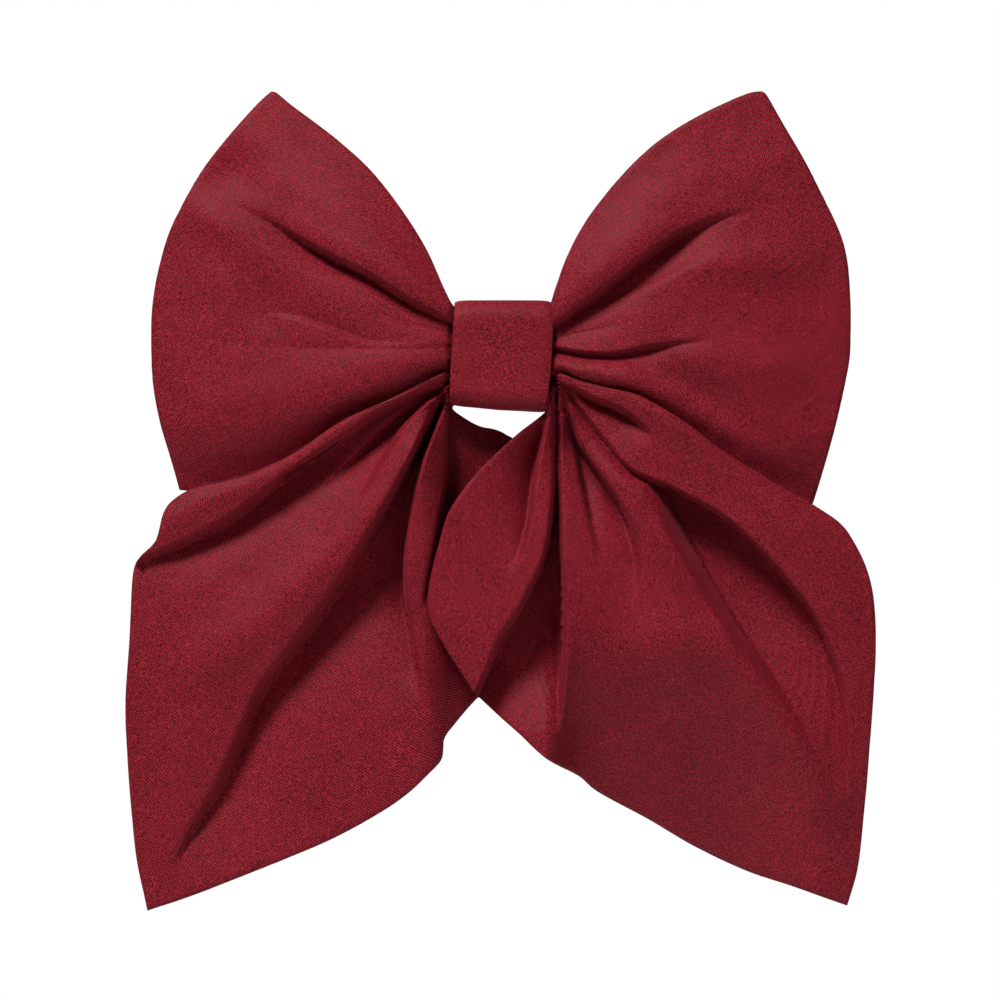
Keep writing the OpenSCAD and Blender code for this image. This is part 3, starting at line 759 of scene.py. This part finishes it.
# %% Closed sheet
def loop_round(m, n, inset=0):
    """Grid places round the rim, in the winding of the front faces."""
    a, b, c, d = inset, m - inset, inset, n - inset
    return ([(a, j) for j in range(c, d)] + [(i, d) for i in range(a, b)]
            + [(b, j) for j in range(d, c, -1)] + [(i, c) for i in range(b, a, -1)])


def cloth_piece(name, points, faces, weave):
    """A satin mesh, its points in millimetres, that rides on the bow."""
    mesh = bpy.data.meshes.new(name)
    mesh.from_pydata((np.asarray(points) * MM).tolist(), [], faces)
    mesh.attributes.new("weave", "FLOAT_VECTOR", "POINT").data.foreach_set(
        "vector", np.asarray(weave, float).ravel())
    mesh.materials.append(bow_satin)
    mesh.polygons.foreach_set("use_smooth", [True] * len(mesh.polygons))
    piece = bpy.data.objects.new(name, mesh)
    bpy.context.collection.objects.link(piece)
    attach(piece, "bow")
    return piece


def closed_sheet(name, cloth, front_y, back_y, step):
    """Every step-th point of the grid, as a front and a back face joined round the rim."""
    grids = [cloth[key] for key in ("x", "z", "run", "side")] + [front_y, back_y]
    x, z, run, side, front_y, back_y = (grid[::step, ::step] for grid in grids)
    m, n = (k - 1 for k in x.shape)
    count = x.size
    index = np.arange(count).reshape(x.shape)
    corners = index[:-1, :-1], index[:-1, 1:], index[1:, 1:], index[1:, :-1]
    a, b, c, d = (corner.ravel() for corner in corners)
    rim = np.array([index[p] for p in loop_round(m, n)])
    after = np.roll(rim, -1)
    faces = np.vstack([np.column_stack([a, b, c, d]), np.column_stack([a, d, c, b]) + count,
                       np.column_stack([after, rim, rim + count, after + count])])
    points = [np.column_stack([x.ravel(), y.ravel(), z.ravel()]) for y in (front_y, back_y)]
    weave = np.column_stack([run.ravel(), side.ravel(), np.zeros(count)])
    return cloth_piece(name, np.vstack(points), faces.tolist(), np.vstack([weave, weave]))


print("the rim of a grid of 3 by 2 cells has", len(loop_round(3, 2)), "points")


# %% Front, back and seam of one cloth
SEAM_THREAD = 0.06  # radius
SEAM_EDGE = 0.05  # thickness of a layer at the seam
RIM_THIN = 1.2


def face_area(piece):
    """One face of a sheet: half of its whole surface."""
    mesh = piece.data
    area = np.empty(len(mesh.polygons))
    mesh.polygons.foreach_get("area", area)
    return area.sum() / 2


def thickness(gap):
    return SEAM_EDGE + (CLOTH - SEAM_EDGE) * ease(gap / RIM_THIN)


def thread_piece(name, runs, radius, roundness, closed=False):
    """Sewing thread along each run of points, in millimetres, that rides on the bow."""
    thread = bpy.data.curves.new(name, "CURVE")
    thread.dimensions = "3D"
    thread.bevel_depth = radius * MM
    thread.bevel_resolution = roundness
    for run in runs:
        spline = thread.splines.new("POLY")
        spline.points.add(len(run) - 1)
        spline.use_cyclic_u = closed
        place = np.column_stack([np.asarray(run) * MM, np.ones(len(run))])
        spline.points.foreach_set("co", place.ravel())
    thread.materials.append(sewing_thread)
    piece = bpy.data.objects.new(name, thread)
    bpy.context.collection.objects.link(piece)
    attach(piece, "bow")
    return piece


def sewn_pair(name, cloth):
    """The front sheet, the back sheet and the seam of one cloth, in place of their solids."""
    fall = rolled(cloth["gap"])
    thick = thickness(cloth["gap"])
    front_y = fall - cloth["h"]
    back_y = PAIR - cloth["back_h"] - fall
    front = closed_sheet(name + "_front_satin", cloth, front_y, front_y + thick, 1)
    back = closed_sheet(name + "_back_satin", cloth, back_y - thick, back_y, 2)
    m, n = (k - 1 for k in cloth["x"].shape)
    ring = [(cloth["x"][p], PAIR / 2 - cloth["h"][p], cloth["z"][p]) for p in loop_round(m, n, 1)]
    seam = thread_piece(name + "_seam", [ring], SEAM_THREAD, roundness=1, closed=True)
    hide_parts(name + "_front_panel")
    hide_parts(name + "_back_panel")
    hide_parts(name + "_seam_thread")
    for piece in (front, back):
        print(f"{piece.name}: cloth face {face_area(piece) * 1e6:.0f} mm2")


print(f"a layer is {thickness(0):.2f} mm thick at the seam and {thickness(5):.2f} mm inside")

# %% Wings
wings_cloth = whole_cloth(LEFT_WING, RIGHT_WING, wing_height, LEFT_WING_FOLDS, RIGHT_WING_FOLDS,
                          length=72, width=88, pleat=0.16)
sewn_pair("wings", wings_cloth)

# %% Tails
tails_cloth = whole_cloth(LEFT_TAIL, RIGHT_TAIL, tail_height, LEFT_TAIL_FOLDS, RIGHT_TAIL_FOLDS,
                          length=112, width=88, lag=1.5)
sewn_pair("tails", tails_cloth)

# %% [markdown]
# ## The knot band
#
# A strip of the same satin, folded to its width with both raw edges inside, goes once round the
# waist and laps over itself at the back, where six stitches hold it. A curve with a flat bevel
# could be the band, but its width could not change on the way. So a section is swept along the
# strip's path in code. Its edges are round because they are folds, and the band is drawn a little
# narrower where it is pulled over the top and the bottom.

# %% Path of the band
band_low, band_high = (np.array(corner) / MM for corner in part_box("knot_band"))
BAND = 1.1  # thickness
BEND = 3.05  # radius of the band's corners
LAP_TOP = 7.0
RINGS = 170


def corner(y, z, start, stop, tall=1.0):
    turn = np.radians(np.linspace(start, stop, 9))
    return [(y + BEND * np.cos(t), z + BEND * tall * np.sin(t)) for t in turn]


def band_path():
    """Centre line from the hidden end at the back, down, forward, up, back and over itself."""
    front, back = band_low[1] + BAND / 2, band_high[1] - 1.5 * BAND
    top = band_high[2] - BAND / 2
    low_bend, high_bend = 1.25, 1.2
    path = [(back, z) for z in np.linspace(3.4, -top + BEND + 0.5, 8)]
    path += corner(back - BEND, -top + BEND, 0, -90)
    path += corner(front + BEND, -top + low_bend * BEND, -90, -180, low_bend)
    path += [(front, z) for z in np.linspace(-top + low_bend * BEND + 1,
                                             top - high_bend * BEND - 1, 12)]
    path += corner(front + BEND, top - high_bend * BEND, 180, 90, high_bend)
    path += corner(back - BEND, top - BEND, 90, 0)
    path += [(back + BAND * ease(s), LAP_TOP - 2.6 * s) for s in np.linspace(0, 1, 6)]
    path += [(back + BAND, z) for z in np.linspace(3.2, -3.45, 8)]
    return smooth_line([(y, z, 0) for y, z in path], RINGS)[:, :2]


print(f"band {BAND} mm thick, {band_high[2] - band_low[2]:.1f} mm tall")


# %% Swept band
SECTION = 56


def band_section():
    """Shares of the half width, and of the half thickness, round the strip."""
    a = np.linspace(0, 2 * np.pi, SECTION, endpoint=False)
    across = np.sign(np.cos(a)) * np.abs(np.cos(a)) ** 0.16
    out = np.sign(np.sin(a)) * np.abs(np.sin(a)) ** 0.75
    return across, out


def sweep_band():
    path = band_path()
    way = np.gradient(path, axis=0)
    way /= np.hypot(*way.T)[:, None]
    out = np.column_stack([-way[:, 1], way[:, 0]])
    from_middle = path - [(band_low[1] + band_high[1]) / 2, 0]
    front_ring = 60
    out *= np.sign(np.sum(out[front_ring] * from_middle[front_ring]))
    run = np.concatenate([[0], np.cumsum(np.hypot(*np.diff(path, axis=0).T))])
    across, off = band_section()
    points, weave = [], []
    for k, (y, z) in enumerate(path):
        left = np.interp(z, [-12, -4, 12], [-11.5, -11.3, -10.4])
        right = np.interp(z, [-12, -4, 5.5, 12], [9.6, 10.7, 11.2, 10.6])
        ends = ease(min(k, len(path) - 1 - k) / 3) * 0.65 + 0.35
        slant = -0.0765 * ease((-z - 6) / 5)
        for share, face in zip(across, off):
            x = (left + right) / 2 + share * (right - left) / 2
            crown = 0
            if face > 0:
                crown = 0.22 * (1 - share**2) + 0.05 * np.sin(run[k] * 0.9 + share * 4)
            lift = (face * BAND / 2 + crown) * ends
            points.append((x, y + out[k, 0] * lift, z + out[k, 1] * lift + slant * x))
            weave.append((run[k], x, 0))
    n = SECTION
    faces = [(k * n + s, k * n + (s + 1) % n, (k + 1) * n + (s + 1) % n, (k + 1) * n + s)
             for k in range(len(path) - 1) for s in range(n)]
    last = (len(path) - 1) * n
    faces += [tuple(range(n))[::-1], tuple(range(last, last + n))]
    return points, faces, weave, run[-1]


points, faces, weave, band_length = sweep_band()
band = cloth_piece("knot_strip", points, faces, weave)
shell = bmesh.new()
shell.from_mesh(band.data)
bmesh.ops.recalc_face_normals(shell, faces=shell.faces)
shell.to_mesh(band.data)
shell.free()
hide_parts("knot_band")
print(f"knot band {band_length:.1f} mm long, cloth face {face_area(band) * 1e6:.0f} mm2")

# %% Stitches
STITCHES = 6
STITCH_THREAD = 0.09  # radius
low, high = (np.array(c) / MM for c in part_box("band_stitches"))
s = np.linspace(0, 1, 9)
dip = 1.25 * ease((s - 0.55) / 0.4)
runs = [np.column_stack([x - 0.35 + 0.7 * s, high[1] + 0.06 - dip, high[2] - (high[2] + 4.1) * s])
        for x in np.linspace(low[0] + 0.6, high[0] - 0.6, STITCHES)]
stitches = thread_piece("lap_stitches", runs, STITCH_THREAD, roundness=2)
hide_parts("band_stitches")
print(len(runs), "stitches along the lap")
